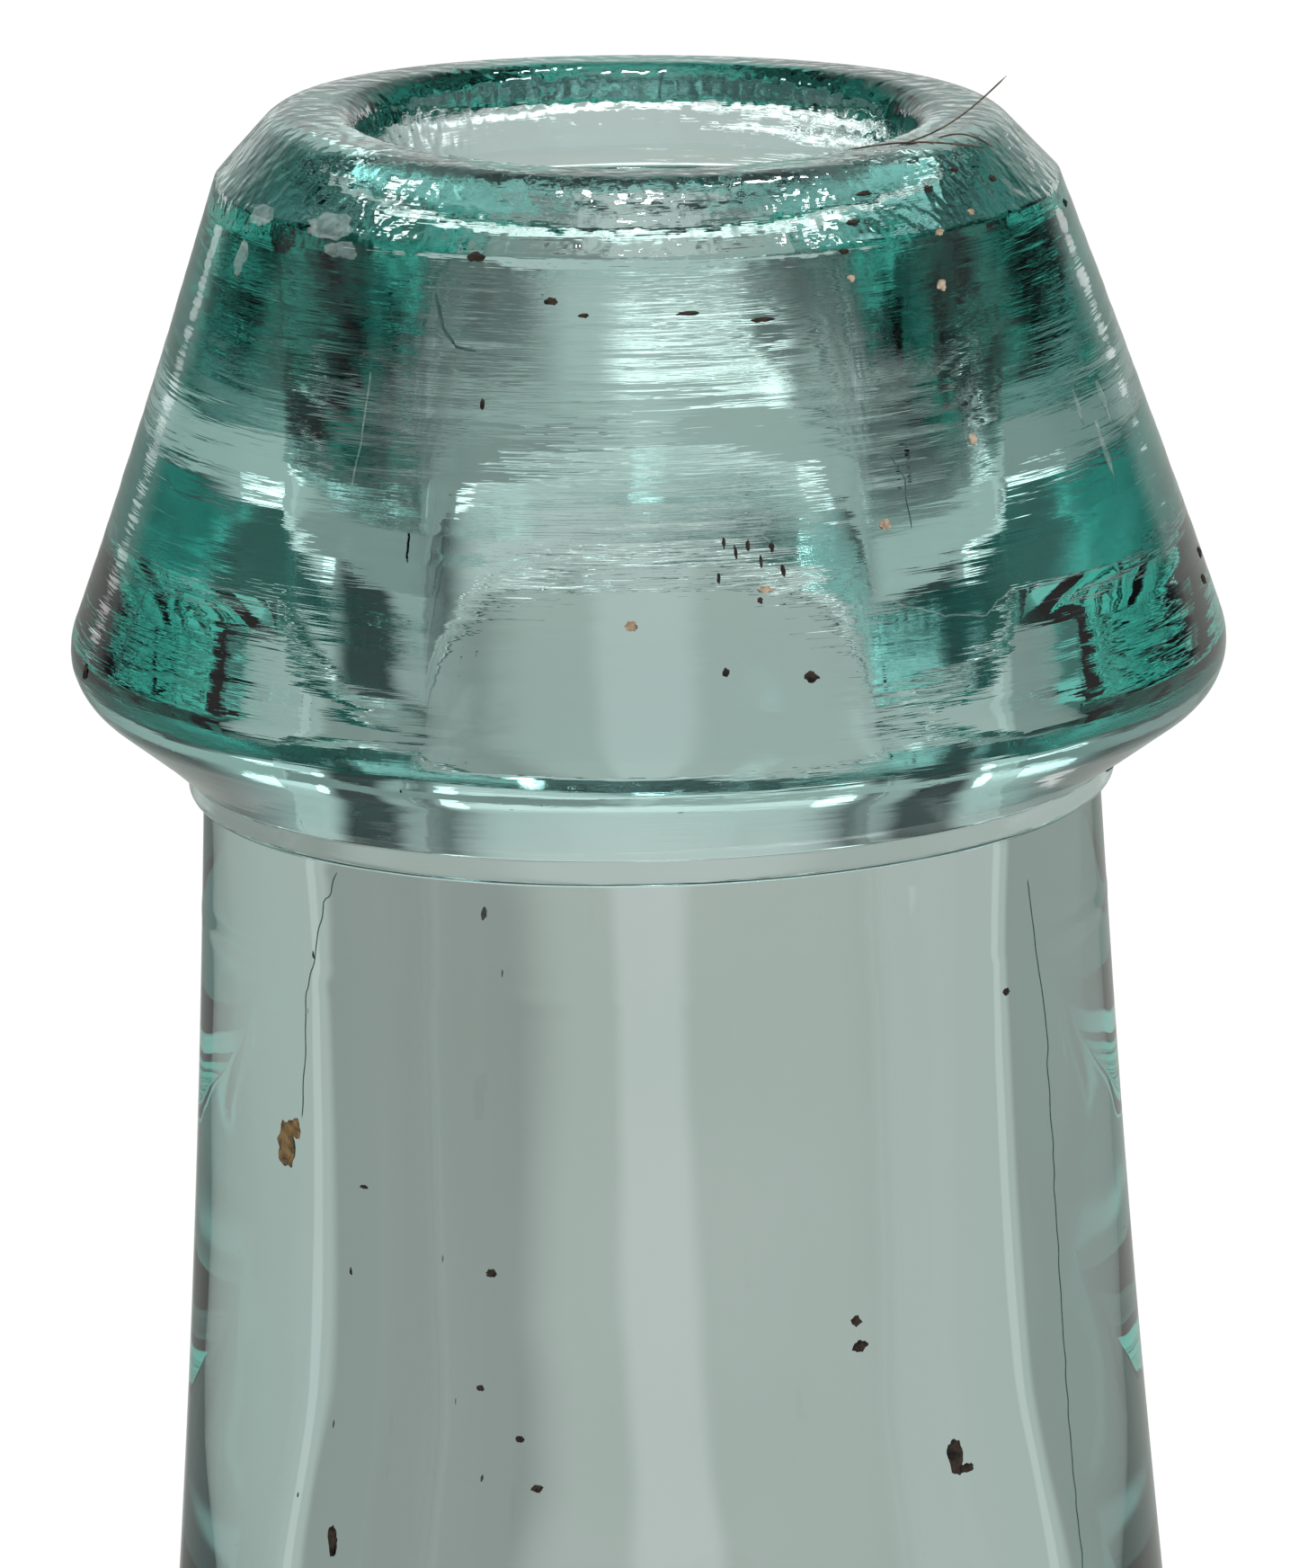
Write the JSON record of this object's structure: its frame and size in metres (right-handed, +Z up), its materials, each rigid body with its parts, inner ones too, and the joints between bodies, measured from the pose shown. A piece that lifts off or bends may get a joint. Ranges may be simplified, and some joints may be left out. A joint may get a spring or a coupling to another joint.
{
  "type": "antique glass bottle",
  "caption": "Aqua glass soda-water style bottle with a hand-tooled tapered collar, long sloping shoulder and pushed-up base.",
  "frame": {"origin": "centre of the plane the bottle stands on", "axes": "+Z up the bottle's axis, out of its mouth; the bottle is the same all the way round"},
  "size_m": [0.064, 0.064, 0.186],
  "materials": {
    "body_glass": "glossy, with faint waves, seeds and dust",
    "lip_glass": "glossy, with tooling striations, scratches and small chips"
  },
  "bodies": {
    "root": {"bottle_body": "body_glass", "applied_lip": "lip_glass"}
  },
  "joints": []
}
